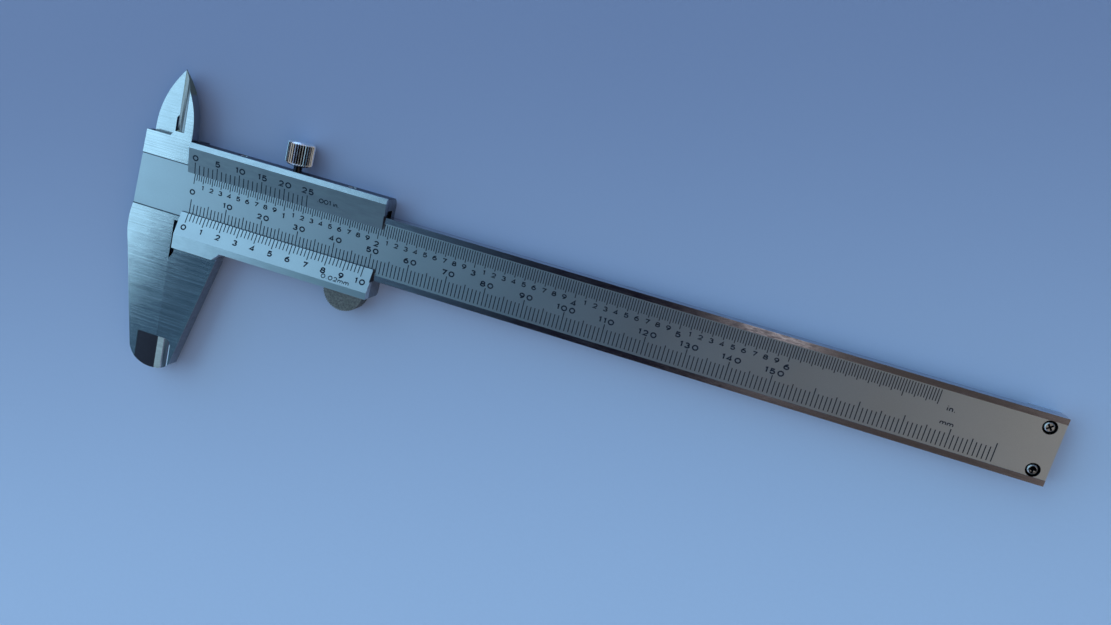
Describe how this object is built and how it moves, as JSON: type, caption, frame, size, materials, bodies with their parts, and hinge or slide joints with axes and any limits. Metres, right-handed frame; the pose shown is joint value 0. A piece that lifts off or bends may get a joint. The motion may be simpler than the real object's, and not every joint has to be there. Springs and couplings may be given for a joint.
{
  "type": "vernier caliper",
  "caption": "Vernier caliper with outside jaws, crossed inside jaws, depth bar, clamping gib with knurled lock screw and thumb rest; millimetre and inch scales.",
  "frame": {"origin": "plane of the closed outside jaws' contact faces, on the beam's centre line, at the level of the flat back that the caliper rests on", "axes": "+X along the beam, the way the slider opens; +Y across the beam towards the inside jaws; +Z out of the graduated face"},
  "size_m": [0.2286, 0.0784, 0.0078],
  "materials": {
    "satin_steel": "satin chromed graduated faces with polished guide rails and ground jaw faces",
    "slider_steel": "satin chromed vernier plates, ground jaws",
    "ground_steel": "fine lengthwise grinding marks",
    "plain_steel": "matt sintered steel with a serrated rim",
    "dark_steel": "dark bright plating over a straight knurl",
    "screw_steel": "bright plated screw",
    "bronze": "rubbed bearing bronze"
  },
  "bodies": {
    "beam": {"beam": "satin_steel", "stop_plate": "ground_steel", "stop_screw_upper": "screw_steel", "stop_screw_lower": "screw_steel"},
    "slider": {"slider": "slider_steel", "thumb_rest": "plain_steel", "depth_bar": "ground_steel", "depth_bar_pin_front": "ground_steel", "depth_bar_pin_rear": "ground_steel", "gib_screw_front": "dark_steel", "gib_screw_rear": "dark_steel"},
    "gib": {"gib": "bronze"},
    "lock_screw": {"lock_screw": "dark_steel"}
  },
  "joints": [
    {"name": "slider_travel", "type": "slide", "parent": "beam", "child": "slider", "axis": [1, 0, 0], "range_m": [0, 0.153]},
    {"name": "gib_clamp", "type": "slide", "parent": "slider", "child": "gib", "axis": [0, -1, 0], "range_m": [0, 0.0001125]},
    {"name": "lock_screw_turn", "type": "hinge", "parent": "gib", "child": "lock_screw", "pos_m": [0.0297, 0.0142, 0.00344], "axis": [0, -1, 0], "range_deg": [0, 90]}
  ],
  "couplings": [
    {"joint": "lock_screw_turn", "follows": "gib_clamp", "rad_per_m": 13963}
  ]
}
